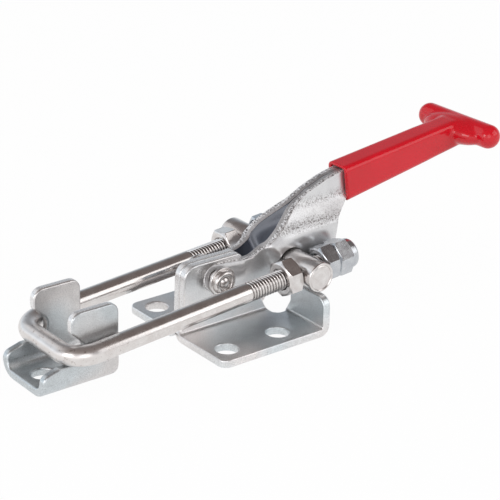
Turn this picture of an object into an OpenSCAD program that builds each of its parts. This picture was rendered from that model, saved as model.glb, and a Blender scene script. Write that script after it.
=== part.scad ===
// Over centre toggle latch: a hand lever on a base draws a U-bolt into a hooked latch plate.
// Origin at the centre of the base's bolt pattern on the mounting face, +Z up, handle towards +X.

/* [Base brackets] */
// Sheet thickness of the two base brackets
base_t = 2.5; // [2:0.1:3]
// Distance along the latch between the mounting holes
bolt_dx = 18.4; // [16:0.2:22]
// Distance across the latch between the mounting holes
bolt_dy = 34.4; // [32:0.2:40]
// Diameter of the mounting holes
bolt_bore = 6.6; // [5:0.1:7]
// Flange beyond the front holes
flange_front = 6; // [5:0.1:9]
// Flange beyond the holes, out to its long edge
flange_side = 6.5; // [5:0.1:9]
// Rounding of the flange's front corners
flange_corner = 3; // [1:0.1:5]
// Distance from the rear holes to the outside of the end walls
flange_back = 14.4; // [13.4:0.1:17]
// Height of the upright web above the mounting face
web_h = 22.8; // [22:0.1:25]
// Rounding of the web's front top corner
web_corner = 4; // [2:0.1:6]
// Height of the turned-up end walls
end_wall_h = 12.2; // [8:0.1:12.6]
// Rounding of the end walls' outer top corners
end_wall_corner = 3.5; // [1:0.1:6]
// Half width of the gap between the two end walls
tail_gap = 8.1; // [7.8:0.1:10]
// Depth of the relief notch between web and end wall, from the middle
notch_y = 7; // [6:0.1:7.4]
// Inside radius of the bracket's bends
base_bend = 0.8; // [0.5:0.1:2]

/* [Pivot] */
// Place of the handle pivot behind the centre of the bolt pattern
pivot_x = -2.4; // [-4:0.1:0]
// Height of the handle pivot
pivot_z = 17.3; // [16.5:0.1:18]
// Diameter of the pivot rivet's shank
rivet_d = 5; // [4:0.1:6]
// Diameter of the rivet heads
rivet_head_d = 8.1; // [7:0.1:8.6]
// Height of the rivet heads
rivet_head_h = 1.7; // [1.2:0.1:2.2]
// Diameter of the washers under the rivet heads
washer_d = 8.8; // [8.2:0.1:9.6]
// Thickness of the washers under the rivet heads
washer_t = 1; // [0.6:0.1:1.4]

/* [Trunnion and draw bolt] */
// Distance from the handle pivot to the trunnion, along the latch
lever_arm = 23.9; // [22:0.1:27]
// Height of the trunnion with the latch shut
trunnion_z = 18; // [17.6:0.1:19]
// Diameter of the trunnion
trunnion_d = 9; // [8:0.1:9.4]
// Length of the trunnion
trunnion_len = 43.2; // [42:0.2:48]
// Distance from the trunnion to the cross bar of the U-bolt
draw_len = 79.7; // [70:0.1:95]
// Height of the cross bar with the latch shut
bar_z = 11.56; // [11:0.02:12.5]
// Diameter of the U-bolt's rod
rod_d = 5.8; // [5:0.1:6]
// Distance between the two rods
rod_gap = 28.4; // [28:0.1:32]
// Radius of the U-bolt's corners, to the middle of the rod
rod_bend = 7; // [5:0.1:9]
// How far the rods reach behind the trunnion
rod_tail = 17.6; // [16.5:0.1:22]

/* [Nuts] */
// Width of the nuts across their flats
nut_af = 10; // [9.5:0.1:10]
// Thickness of the plain nuts
nut_h = 5; // [4:0.1:5.2]
// Height of the hexagon of the lock nuts
lock_hex_h = 5.2; // [4:0.1:6]
// Height of the round collar of the lock nuts
lock_collar_h = 2.5; // [2:0.1:3]
// Diameter of the round collar of the lock nuts
lock_collar_d = 9; // [8.4:0.1:9.4]
// Thickness of the plastic ring in the lock nuts
lock_ring_h = 1.8; // [1:0.1:2]
// Diameter of the plastic ring in the lock nuts
lock_ring_d = 7.6; // [7:0.1:7.8]

/* [Handle plates] */
// Sheet thickness of the two handle plates
arm_t = 2.5; // [2:0.1:3]
// Radius of the arms' round ends at the pivot
arm_end_r = 4.3; // [4:0.1:5]
// Half of the gap between the plates where the trunnion crosses
cheek_gap = 5.1; // [3.4:0.1:5.4]
// Radius of the plates' lower edge about the trunnion
cheek_r = 8.5; // [7.5:0.1:9]
// Angle of the bends across the plates, from upright
crease_tilt = 28; // [20:1:35]
// Distance from the pivot to the middle of the cross grip, along the latch
handle_reach = 97.4; // [90:0.2:115]
// Height of the middle of the cross grip with the latch shut
cross_z = 43.9; // [41:0.1:47]
// Height of the tabs that turn outwards into the cross grip
tab_h = 3.8; // [3.4:0.1:4.2]

/* [Grip] */
// Wall of the dipped plastic sleeve
sleeve_t = 1.1; // [0.8:0.1:1.6]
// Side wall of the dipped plastic sleeve
sleeve_side_t = 1.8; // [1.4:0.1:2.2]
// Crown of the sleeve's top face
sleeve_crown = 0.4; // [0.2:0.1:0.8]
// Distance from the trunnion to the sleeve's open end, along the latch
sleeve_start = 23.8; // [23.4:0.1:28]
// Height of the middle of the sleeve's open end above the trunnion
sleeve_rise = 18; // [17:0.1:20]
// Height of the sleeve at its open end
sleeve_h0 = 10.9; // [10:0.1:11.4]
// Height of the sleeve at the cross grip
sleeve_h1 = 8.2; // [7.6:0.1:9]
// Diameter of the cross grip
cross_d = 7.6; // [7.4:0.1:8.6]
// Length of the cross grip
cross_len = 33.4; // [30:0.2:45]

/* [Latch plate] */
// Sheet thickness of the latch plate
latch_t = 2.5; // [2:0.1:2.8]
// Inside radius of the latch plate's two long bends
latch_bend = 2.5; // [1:0.1:3]
// How far the latch plate reaches ahead of the cross bar
latch_front = 7.8; // [7:0.1:12]
// How far the latch plate reaches behind the cross bar
latch_back = 16.6; // [14:0.1:20]
// Height of the hooked ears
ear_h = 23.3; // [22.5:0.1:25]
// Height of the low walls at the front edge
lip_h = 6.8; // [5:0.1:7.5]
// Radius of the throats that take the cross bar
throat_r = 3.6; // [3.2:0.1:3.9]
// Diameter of the latch plate's screw hole
latch_bore = 6.4; // [5:0.1:6.6]
// Distance from the cross bar forward to the screw hole
latch_bore_x = 1.4; // [1:0.1:3]

/* [Fits] */
// Radial clearance of shafts in their holes
running = 0.05; // [0.02:0.01:0.1]
// Side play between the handle and the web
side_play = 0.15; // [0.1:0.01:0.3]
// Radial clearance of the rods in the trunnion
rod_play = 0.2; // [0.1:0.05:0.4]
// Clearance between the cross bar and the latch plate
bar_play = 0.3; // [0.2:0.05:0.5]
// Clearance between the rods and the ears
ear_play = 0.5; // [0.3:0.05:0.8]
// Play between the nuts and the trunnion
nut_play = 0.05; // [0.02:0.01:0.2]

/* [Hidden] */

$fn = 48;
// Chords in each rounded corner of an outline
ARC_STEPS = 6;
// Overshoot of cutting tools and trims
OVER = 1;
// Long enough to run past the whole part
FAR = 200;

// Side and turning sense of the near and the far half
NEAR = -1;
AWAY = 1;

zinc = "#b9bec2";
steel = "#cfc9c6";
red = "#cc1f2f";
nylon = "#e8e8e4";

// Trunnion axis in the side view
trunnion_x = pivot_x + lever_arm;
rod_y = rod_gap / 2;
rod_r = rod_d / 2;
rod_slope = asin((trunnion_z - bar_z) / draw_len);
bar_x = trunnion_x - draw_len * cos(rod_slope);

// Base bracket outline
flange_x0 = -bolt_dx / 2 - flange_front;
flange_x1 = bolt_dx / 2 + flange_back;
flange_y = bolt_dy / 2 + flange_side;
web_x0 = flange_x0 + 1.3;
web_lean = 0.6;
web_top_x1 = pivot_x + 9;
end_wall_in = flange_x1 - base_t;
notch_x0 = end_wall_in - 4.3;
notch_r = 2;

// Handle plate sections across the creases, measured from the trunnion
arm_gap = base_t + side_play;
crease_in = -5.9;
flare_s0 = -2.9;
flare_s1 = 2;
meet_s = 12.6;
tab_bend = 1.6;

// Cross grip and tang
cross_x = pivot_x + handle_reach;
cross_r = cross_d / 2;
sleeve_x0 = trunnion_x + sleeve_start;
sleeve_z0 = trunnion_z + sleeve_rise;
sleeve_x1 = cross_x - 0.53 * cross_d;
sleeve_z1 = cross_z - 0.12 * cross_d;
sleeve_w = 2 * (arm_t + sleeve_side_t);
sleeve_slope = atan2(sleeve_z1 - sleeve_z0, sleeve_x1 - sleeve_x0);
sleeve_len = norm([sleeve_x1 - sleeve_x0, sleeve_z1 - sleeve_z0]);
tang_x1 = cross_x - arm_t / 2 - tab_bend - arm_t;
mouth_wall = 0.8;
mouth_depth = 1.2;

// Latch plate
ear_out = rod_y - rod_r - ear_play;
latch_x0 = bar_x - latch_front;
latch_x1 = bar_x + latch_back;
throat_z = bar_z - rod_r - bar_play;
throat_x = bar_x + 1.8;
nose_x = throat_x - 0.35;
ear_rise = ear_h - throat_z;
nose_z = throat_z + 0.62 * ear_rise;

function unit(v) = v / norm(v);

// One corner of an outline as points on an arc of radius r
function corner(p0, p, p1, r) =
    let (a = unit(p0 - p), b = unit(p1 - p), half = acos(a * b) / 2)
    let (c = p + unit(a + b) * r / sin(half), reach = r / tan(half))
    let (va = p + a * reach - c, vb = p + b * reach - c)
    let (a0 = atan2(va[1], va[0]), a1 = atan2(vb[1], vb[0]))
    let (sweep = (a1 - a0 + 540) % 360 - 180)
    [for (k = [0:ARC_STEPS]) c + r * [cos(a0 + sweep * k / ARC_STEPS), sin(a0 + sweep * k / ARC_STEPS)]];

// A closed outline whose points are [x, y] or, where rounded, [x, y, radius]
function rounded(path) =
    let (n = len(path), flat = [for (p = path) [p[0], p[1]]])
    [for (i = [0:n - 1]) each (
        len(path[i]) < 3 || path[i][2] == 0
            ? [flat[i]]
            : corner(flat[(i + n - 1) % n], flat[i], flat[(i + 1) % n], path[i][2])
    )];

// Lifts a side view drawn as [x, z] to a slab from y0 to y1
module side_slab(y0, y1) {
    translate([0, y1, 0])
        rotate([90, 0, 0])
            linear_extrude(height = y1 - y0)
                children();
}

// Runs a section drawn as [y, z] along the latch from x0 to x1
module along(x0, x1) {
    translate([x0, 0, 0])
        rotate([90, 0, 90])
            linear_extrude(height = x1 - x0)
                children();
}

module sided(side) {
    if (side == NEAR)
        mirror([0, 1, 0])
            children();
    else
        children();
}

// Turns a shape drawn about the rod line, with +X along the rod, to its place at the trunnion
module on_rod_line() {
    translate([trunnion_x, 0, trunnion_z])
        rotate([0, -rod_slope, 0])
            children();
}

// Cylinder along +X from x0 to x1
module rod_bar(x0, x1, r) {
    translate([x0, 0, 0])
        rotate([0, 90, 0])
            cylinder(h = x1 - x0, r = r);
}

// Base bracket, drawn for the far side
module bracket_angle() {
    outer = base_bend + base_t;
    along(flange_x0, flange_x1)
        polygon(rounded([
            [0, 0, outer], [flange_y, 0], [flange_y, base_t],
            [base_t, base_t, base_bend], [base_t, web_h], [0, web_h]
        ]));
}

module bracket_side_view() {
    polygon(rounded([
        [flange_x0, -OVER], [flange_x0, base_t + 0.2], [web_x0, base_t + 2.2],
        [web_x0 + web_lean, web_h, web_corner], [web_top_x1, web_h, 2],
        [notch_x0, base_t], [notch_x0, -OVER]
    ]));
}

module bracket_end_wall() {
    outer = base_bend + base_t;
    low_y = notch_y - 1.6;
    intersection() {
        side_slab(0, flange_y)
            polygon(rounded([
                [notch_x0 - 4, 0], [flange_x1, 0, outer], [flange_x1, end_wall_h],
                [end_wall_in, end_wall_h], [end_wall_in, base_t, base_bend], [notch_x0 - 4, base_t]
            ]));
        along(notch_x0 - 5, flange_x1 + OVER)
            polygon(rounded([
                [low_y, -OVER], [flange_y, -OVER], [flange_y, end_wall_h, end_wall_corner],
                [tail_gap, end_wall_h, 0.8], [tail_gap, base_t * 2.4, 3], [low_y, base_t * 0.5]
            ]));
    }
}

module bracket_holes() {
    for (x = [-bolt_dx / 2, bolt_dx / 2])
        translate([x, bolt_dy / 2, -OVER])
            cylinder(h = base_t + 2 * OVER, d = bolt_bore);
}

module base_bracket() {
    color(zinc)
        difference() {
            union() {
                intersection() {
                    bracket_angle();
                    side_slab(-OVER, flange_y + OVER)
                        bracket_side_view();
                }
                bracket_end_wall();
            }
            bracket_holes();
            flange_corner_cut();
            tail_notch();
            translate([pivot_x, -OVER, pivot_z])
                rotate([-90, 0, 0])
                    cylinder(h = base_t + 2 * OVER, d = rivet_d + 2 * running);
        }
}

// Takes the sharp front corner off the flange
module flange_corner_cut() {
    x = flange_x0 + flange_corner;
    y = flange_y - flange_corner;
    translate([0, 0, -OVER])
        linear_extrude(height = base_t + 2 * OVER)
            difference() {
                translate([x - flange_corner - OVER, y])
                    square(flange_corner + OVER);
                translate([x, y])
                    circle(r = flange_corner);
            }
}

// Relief notch in the flange between the web and the end wall, with round inner corners
module tail_notch() {
    x1 = end_wall_in + 0.4;
    translate([0, 0, -OVER])
        linear_extrude(height = base_t + 2 * OVER)
            polygon(rounded([
                [notch_x0, -OVER], [x1, -OVER], [x1, notch_y, notch_r], [notch_x0, notch_y, notch_r]
            ]));
}

module base_bracket_near() {
    sided(NEAR)
        base_bracket();
}

module base_bracket_far() {
    sided(AWAY)
        base_bracket();
}

// Folded section of the latch plate: a floor with round bends up into both walls
module latch_section() {
    inner = ear_out - latch_t;
    top = ear_h + OVER;
    polygon(rounded([
        [ear_out, 0, latch_bend + latch_t], [ear_out, top], [inner, top], [inner, latch_t, latch_bend],
        [-inner, latch_t, latch_bend], [-inner, top], [-ear_out, top], [-ear_out, 0, latch_bend + latch_t]
    ]));
}

module latch_side_view() {
    foot_run = latch_back / 2;
    throat_back = throat_x + throat_r;
    polygon(rounded([
        [latch_x0, -OVER], [latch_x0, lip_h, 2.6], [bar_x - 2.4, throat_z, 2],
        [throat_back, throat_z, throat_r], [throat_back, throat_z + 0.36 * ear_rise, 0.13 * ear_rise],
        [nose_x, nose_z, 0.09 * ear_rise], [nose_x - 0.2, ear_h, 0.21 * ear_rise],
        [latch_x1, ear_h, 0.2 * ear_rise], [latch_x1, 0, 2.8], [latch_x1 - foot_run, 0],
        [latch_x1 - foot_run, -OVER]
    ]));
}

module latch_plate() {
    color(zinc)
        difference() {
            intersection() {
                along(latch_x0, latch_x1)
                    latch_section();
                side_slab(-rod_y, rod_y)
                    latch_side_view();
            }
            translate([bar_x - latch_bore_x, 0, -OVER])
                cylinder(h = latch_t + 2 * OVER, d = latch_bore);
        }
}

// Rivet through the web and both arms, with a dished head at each end
module pivot_rivet() {
    seat = arm_gap + arm_t + running + washer_t;
    r = rivet_head_d / 2;
    color(steel)
        translate([pivot_x, 0, pivot_z])
            rotate([-90, 0, 0])
                union() {
                    cylinder(h = 2 * seat, d = rivet_d, center = true);
                    for (side = [NEAR, AWAY])
                        rotate([side == AWAY ? 0 : 180, 0, 0])
                            translate([0, 0, seat])
                                rivet_head(r);
                }
}

module rivet_head(r) {
    dish = rivet_head_h * 0.35;
    rotate_extrude()
        polygon(rounded([
            [0, 0], [r, 0], [r, rivet_head_h * 0.55, 0.4], [r - 1.1, rivet_head_h, 0.5],
            [r - 1.7, rivet_head_h, 0.3], [r - 2.2, rivet_head_h - dish, 0.3], [0, rivet_head_h - dish]
        ]));
}

module pivot_washer(side) {
    seat = arm_gap + arm_t + running;
    color(steel)
        sided(side)
            translate([pivot_x, seat, pivot_z])
                rotate([-90, 0, 0])
                    difference() {
                        cylinder(h = washer_t, d = washer_d);
                        translate([0, 0, -OVER])
                            cylinder(h = washer_t + 2 * OVER, d = rivet_d + 2 * running);
                    }
}

module pivot_washer_near() {
    pivot_washer(NEAR);
}

module pivot_washer_far() {
    pivot_washer(AWAY);
}

// Section of one plate across its creases: arm, flared cheek, and tang against its twin
function plate_section() =
    let (lead = 60, t = arm_t, slant = 0.5)
    [
        [-lead, arm_gap], [crease_in, arm_gap, 2], [flare_s0, cheek_gap, 2],
        [flare_s1, cheek_gap, 4], [meet_s, 0, 6], [FAR, 0],
        [FAR, t], [meet_s + slant, t, 4], [flare_s1 + slant, cheek_gap + t, 6],
        [flare_s0 - slant, cheek_gap + t, 3], [crease_in - slant, arm_gap + t, 3], [-lead, arm_gap + t]
    ];

// Corner of the plates' outline, placed by its share of the way from the trunnion to the sleeve's mouth
function rear(dx, dz, r) = [
    trunnion_x + dx * sleeve_start, trunnion_z + dz * sleeve_rise, r * sleeve_rise
];

// Outline of the plates in the side view, with the arm, the cheek and the tang
module plate_side_view() {
    tx = trunnion_x;
    tz = trunnion_z;
    mouth_low_x = sleeve_x0 + sin(sleeve_slope) * sleeve_h0 / 2;
    tang_low = sleeve_z0 - sleeve_h0 / 2 + sleeve_t;
    tang_high = sleeve_z0 + sleeve_h0 / 2 - sleeve_t;
    end_low = sleeve_z1 - sleeve_h1 / 2 + sleeve_t;
    end_high = sleeve_z1 + sleeve_h1 / 2 - sleeve_t;
    arm_low = pivot_z - arm_end_r;
    arm_high = pivot_z + arm_end_r;
    union() {
        translate([pivot_x, pivot_z])
            circle(r = arm_end_r);
        translate([tx, tz])
            circle(r = cheek_r);
        polygon(rounded([
            [pivot_x, arm_low], [tx - cheek_r, arm_low, 4], [tx - 0.47 * cheek_r, tz - 0.88 * cheek_r],
            [tx + 0.24 * cheek_r, tz - 0.98 * cheek_r], rear(0.895, -0.333, 0.39), rear(0.899, 0.083, 0.5),
            rear(0.933, 0.389, 0.5), rear(0.985, 0.583, 0.22), [mouth_low_x - 0.2, tang_low, 1.5],
            [tang_x1, end_low], [tang_x1, end_high],
            [sleeve_x0, tang_high, 20], rear(0.462, 1.028, 0.44), rear(0.147, 0.822, 0.28),
            [tx - 1.06 * cheek_r, arm_high + 0.35 * arm_end_r, 8], [tx - 1.41 * cheek_r, arm_high, 3],
            [pivot_x, arm_high]
        ]));
    }
}

// Tail of one plate that turns outwards inside the cross grip, seen from above
module plate_tab_plan() {
    reach = cross_len / 2 - 1.6;
    x1 = cross_x + arm_t / 2;
    polygon(rounded([
        [tang_x1 - OVER, 0], [x1, 0, tab_bend + arm_t], [x1, reach], [x1 - arm_t, reach],
        [x1 - arm_t, arm_t, tab_bend], [tang_x1 - OVER, arm_t]
    ]));
}

module plate_sheet() {
    intersection() {
        translate([trunnion_x, 0, trunnion_z])
            rotate([0, -crease_tilt, 0])
                translate([0, 0, -FAR / 2])
                    linear_extrude(height = FAR)
                        polygon(rounded(plate_section()));
        side_slab(-OVER, arm_t + cheek_gap + OVER)
            plate_side_view();
    }
}

module plate_tab() {
    translate([0, 0, cross_z - tab_h / 2])
        linear_extrude(height = tab_h)
            plate_tab_plan();
}

module handle_plate(side) {
    color(zinc)
        sided(side)
            difference() {
                union() {
                    plate_sheet();
                    plate_tab();
                }
                translate([pivot_x, 0, pivot_z])
                    rotate([-90, 0, 0])
                        cylinder(h = 3 * arm_t + cheek_gap, d = rivet_d + 2 * running);
                translate([trunnion_x, 0, trunnion_z])
                    rotate([-90, 0, 0])
                        cylinder(h = 3 * arm_t + cheek_gap, d = trunnion_d + 2 * running);
            }
}

module handle_plate_near() {
    handle_plate(NEAR);
}

module handle_plate_far() {
    handle_plate(AWAY);
}

// Placement along the sleeve's own sloping centre line, from its open end
module on_sleeve_line(reach) {
    translate([sleeve_x0, 0, sleeve_z0])
        rotate([0, -sleeve_slope, 0])
            translate([reach, 0, 0])
                children();
}

// Section of the sleeve across the tang
module sleeve_slice(h) {
    r = 1.3;
    rotate([0, 90, 0])
        linear_extrude(height = 0.1)
            polygon(rounded([
                [-h / 2, -sleeve_w / 2, r], [h / 2, -sleeve_w / 2, r],
                [h / 2, sleeve_w / 2, r], [-h / 2, sleeve_w / 2, r], [-h / 2 - sleeve_crown, 0, 4]
            ]));
}

// Slight opening of the sleeve at its open end
module sleeve_mouth() {
    half_h = sleeve_h0 / 2 - mouth_wall;
    half_w = sleeve_w / 2 - mouth_wall;
    on_sleeve_line(-OVER)
        translate([0, -half_w, -half_h])
            cube([OVER + mouth_depth, 2 * half_w, 2 * half_h]);
}

module sleeve_body() {
    hull() {
        on_sleeve_line(0)
            sleeve_slice(sleeve_h0);
        on_sleeve_line(sleeve_len)
            sleeve_slice(sleeve_h1);
    }
}

// Bulge that blends the sleeve into the cross bar
module sleeve_neck() {
    hull() {
        on_sleeve_line(sleeve_len - 5)
            sleeve_slice(sleeve_h1 - 0.2);
        for (side = [NEAR, AWAY])
            translate([cross_x, side * cross_d * 0.55, cross_z])
                sphere(r = cross_r, $fn = 32);
    }
}

module cross_bar() {
    hull()
        for (side = [NEAR, AWAY])
            translate([cross_x, side * (cross_len / 2 - cross_r), cross_z])
                sphere(r = cross_r, $fn = 32);
}

module grip() {
    color(red)
        difference() {
            union() {
                sleeve_body();
                sleeve_neck();
                cross_bar();
            }
            for (side = [NEAR, AWAY])
                handle_plate(side);
            sleeve_mouth();
        }
}

// Round pin of one cheek, flush with the cheek's inner face, that carries the rod on its side
module trunnion_pin(side) {
    chamfer = 0.5;
    reach = trunnion_len / 2;
    color(steel)
        sided(side)
            difference() {
                translate([trunnion_x, 0, trunnion_z])
                    rotate([-90, 0, 0])
                        rotate_extrude()
                            polygon([
                                [0, cheek_gap], [trunnion_d / 2, cheek_gap],
                                [trunnion_d / 2, reach - chamfer],
                                [trunnion_d / 2 - chamfer, reach], [0, reach]
                            ]);
                on_rod_line()
                    translate([0, rod_y, 0])
                        rod_bar(-trunnion_d, trunnion_d, rod_r + rod_play);
            }
}

module trunnion_near() {
    trunnion_pin(NEAR);
}

module trunnion_far() {
    trunnion_pin(AWAY);
}

module u_bolt_corner(side) {
    sided(side)
        translate([rod_bend - draw_len, rod_y - rod_bend, 0])
            rotate([0, 0, 90])
                rotate_extrude(angle = 90)
                    translate([rod_bend, 0])
                        circle(r = rod_r);
}

module u_bolt() {
    color(steel)
        on_rod_line()
            union() {
                for (side = [NEAR, AWAY]) {
                    translate([0, side * rod_y, 0])
                        rod_bar(rod_bend - draw_len, rod_tail, rod_r);
                    u_bolt_corner(side);
                }
                translate([-draw_len, rod_y - rod_bend, 0])
                    rotate([90, 0, 0])
                        cylinder(h = rod_gap - 2 * rod_bend, r = rod_r);
            }
}

// Hexagon along +X, chamfered at one or both ends
module hex_body(h, both) {
    across = nut_af / cos(30);
    cut = (across - nut_af) / 2 / tan(60);
    low = both ? cut : 0;
    rotate([0, 90, 0])
        intersection() {
            cylinder(h = h, d = across, $fn = 6);
            rotate_extrude()
                polygon([
                    [0, 0], [both ? nut_af / 2 : across / 2, 0], [across / 2, low],
                    [across / 2, h - cut], [nut_af / 2, h], [0, h]
                ]);
        }
}

// Places a nut with its front face at x0 along the rod, turned about the rod
module nut_place(side, x0, turn) {
    on_rod_line()
        translate([x0, side * rod_y, 0])
            rotate([turn, 0, 0])
                children();
}

module plain_nut(side, x0, turn) {
    color(steel)
        nut_place(side, x0, turn)
            difference() {
                hex_body(nut_h, true);
                rod_bar(-OVER, nut_h + OVER, rod_r + running);
            }
}

front_x = -trunnion_d / 2 - nut_play - nut_h;
rear_x = trunnion_d / 2 + nut_play;
lock_x = rear_x + nut_h + nut_play;

module front_nut_near() {
    plain_nut(NEAR, front_x, 2);
}

module front_nut_far() {
    plain_nut(AWAY, front_x, 20);
}

module rear_nut_near() {
    plain_nut(NEAR, rear_x, 8);
}

module rear_nut_far() {
    plain_nut(AWAY, rear_x, 24);
}

// Hexagon with a domed collar that holds the plastic ring
module lock_nut(side, turn) {
    total = lock_hex_h + lock_collar_h;
    collar_r = lock_collar_d / 2;
    mouth_r = rod_r + running + 0.3;
    color(steel)
        nut_place(side, lock_x, turn)
            difference() {
                union() {
                    hex_body(lock_hex_h, true);
                    rotate([0, 90, 0])
                        rotate_extrude()
                            polygon(rounded([
                                [0, lock_hex_h - OVER], [collar_r, lock_hex_h - OVER],
                                [collar_r, total, 1.6], [0, total]
                            ]));
                }
                rod_bar(-OVER, lock_hex_h + OVER, rod_r + running);
                rod_bar(total - lock_ring_h - 0.5, total - 0.5, lock_ring_d / 2 + running);
                rod_bar(lock_hex_h, total + OVER, mouth_r);
            }
}

module lock_nut_near() {
    lock_nut(NEAR, 14);
}

module lock_nut_far() {
    lock_nut(AWAY, 5);
}

module lock_ring(side) {
    total = lock_hex_h + lock_collar_h;
    color(nylon)
        nut_place(side, lock_x, 0)
            difference() {
                rod_bar(total - lock_ring_h - 0.5 + running, total - 0.5 - running, lock_ring_d / 2);
                rod_bar(0, total, rod_r + running);
            }
}

module lock_ring_near() {
    lock_ring(NEAR);
}

module lock_ring_far() {
    lock_ring(AWAY);
}

base_bracket_near();
base_bracket_far();
latch_plate();
pivot_rivet();
pivot_washer_near();
pivot_washer_far();
handle_plate_near();
handle_plate_far();
grip();
trunnion_near();
trunnion_far();
u_bolt();
front_nut_near();
front_nut_far();
rear_nut_near();
rear_nut_far();
lock_nut_near();
lock_nut_far();
lock_ring_near();
lock_ring_far();
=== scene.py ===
"""Over centre toggle latch: the dressed model of the latch, around its fixed frame."""

import math

import bmesh
import bpy
from mathutils import Matrix, Vector


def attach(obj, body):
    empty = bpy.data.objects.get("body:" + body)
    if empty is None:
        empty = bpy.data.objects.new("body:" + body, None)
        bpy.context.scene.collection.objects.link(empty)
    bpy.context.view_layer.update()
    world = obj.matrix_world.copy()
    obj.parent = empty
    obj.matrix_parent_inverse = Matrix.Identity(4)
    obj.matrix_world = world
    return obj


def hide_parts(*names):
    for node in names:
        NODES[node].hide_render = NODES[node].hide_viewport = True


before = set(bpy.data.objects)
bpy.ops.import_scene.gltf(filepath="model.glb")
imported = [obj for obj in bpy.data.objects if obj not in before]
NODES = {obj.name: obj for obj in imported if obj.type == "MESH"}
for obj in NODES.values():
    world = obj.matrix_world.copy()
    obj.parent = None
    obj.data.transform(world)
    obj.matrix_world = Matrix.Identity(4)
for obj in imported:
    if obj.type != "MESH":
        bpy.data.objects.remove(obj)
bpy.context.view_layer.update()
MM = 0.001
SIDES = {"near": -1, "far": 1}

# The camera, as fitted to the photograph: where it stands, its right, up and forward, its lens
CAMERA_AT = (-0.275364, -0.361694, 0.219101)
CAMERA_RIGHT = (0.788282, -0.614960, 0.020857)
CAMERA_UP = (0.226773, 0.321863, 0.919227)
CAMERA_AHEAD = (0.572001, 0.719881, -0.393175)
CAMERA_LENS = 123.485

# The rivet and the trunnion pins seen from the side, [x, z] in millimetres, and as places in metres
PIVOT_XZ = (-2.4, 17.3)
TRUNNION_XZ = (21.5, 18.0)
PIVOT = Vector((PIVOT_XZ[0], 0, PIVOT_XZ[1])) * MM
TRUNNION = Vector((TRUNNION_XZ[0], 0, TRUNNION_XZ[1])) * MM

# The U-bolt's rods, in millimetres along and across their own line through the trunnion
ROD_Y = 14.2
ROD_R = 2.9
BEND_R = 7.0
BAR_AT = -79.7
THREAD_START = -21.7
THREAD_END = 16.6
ROD_END = 17.6
PITCH = 1.0
ROD_SLOPE = math.asin(6.44 / 79.7)
SLOPE = Matrix.Translation(TRUNNION) @ Matrix.Rotation(-ROD_SLOPE, 4, "Y")


# Helpers
def only(obj):
    """Makes obj the one selected and active object."""
    bpy.ops.object.select_all(action="DESELECT")
    obj.select_set(True)
    bpy.context.view_layer.objects.active = obj
    return obj


def added(primitive, **settings):
    """Adds a primitive with nothing else selected, and gives its object."""
    bpy.ops.object.select_all(action="DESELECT")
    primitive(**settings)
    return bpy.context.active_object


def edit(obj, mode="VERT"):
    """Opens obj for editing with nothing selected."""
    only(obj)
    bpy.ops.object.mode_set(mode="EDIT")
    bpy.ops.mesh.select_mode(type=mode)
    bpy.ops.mesh.select_all(action="DESELECT")


def done():
    """Closes the mesh that is open for editing."""
    bpy.ops.object.mode_set(mode="OBJECT")


def pick(obj, what, test):
    """Selects the edges or faces of obj that pass the test, in edit mode."""
    mesh = bmesh.from_edit_mesh(obj.data)
    for part in getattr(mesh, what):
        if test(part):
            part.select_set(True)
    mesh.select_flush_mode()
    bmesh.update_edit_mesh(obj.data)


def outward():
    """Turns all faces of the mesh that is open for editing outward."""
    bpy.ops.mesh.select_all(action="SELECT")
    bpy.ops.mesh.normals_make_consistent(inside=False)


def modifier(obj, kind, **settings):
    """Adds a modifier, sets it and applies it."""
    only(obj)
    bpy.ops.object.modifier_add(type=kind)
    made = obj.modifiers[-1]
    for key, value in settings.items():
        setattr(made, key, value)
    bpy.ops.object.modifier_apply(modifier=made.name)


def combine(obj, other, how):
    """Joins, cuts or trims obj with the other solid, which is used up."""
    modifier(obj, "BOOLEAN", operation=how, object=other)
    bpy.data.objects.remove(other)


def place(obj):
    """Puts obj's own turn and place into its mesh."""
    only(obj)
    bpy.ops.object.transform_apply(location=True, rotation=True, scale=True)


def smooth(obj, degrees):
    """Shades obj smooth up to the given angle between its faces."""
    only(obj)
    bpy.ops.object.shade_smooth_by_angle(angle=math.radians(degrees))


def join(objs):
    """Makes one object of several, kept in the first."""
    bpy.ops.object.select_all(action="DESELECT")
    for obj in objs:
        obj.select_set(True)
    bpy.context.view_layer.objects.active = objs[0]
    bpy.ops.object.join()
    return objs[0]


def piece(obj, name, body, node, finish=None):
    """Names a finished piece, gives it its body, the node it stands for and its finish."""
    obj.name = name
    obj.data.name = name
    if finish:
        obj.data.materials.append(finish)
    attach(obj, body)
    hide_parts(node)


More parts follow.
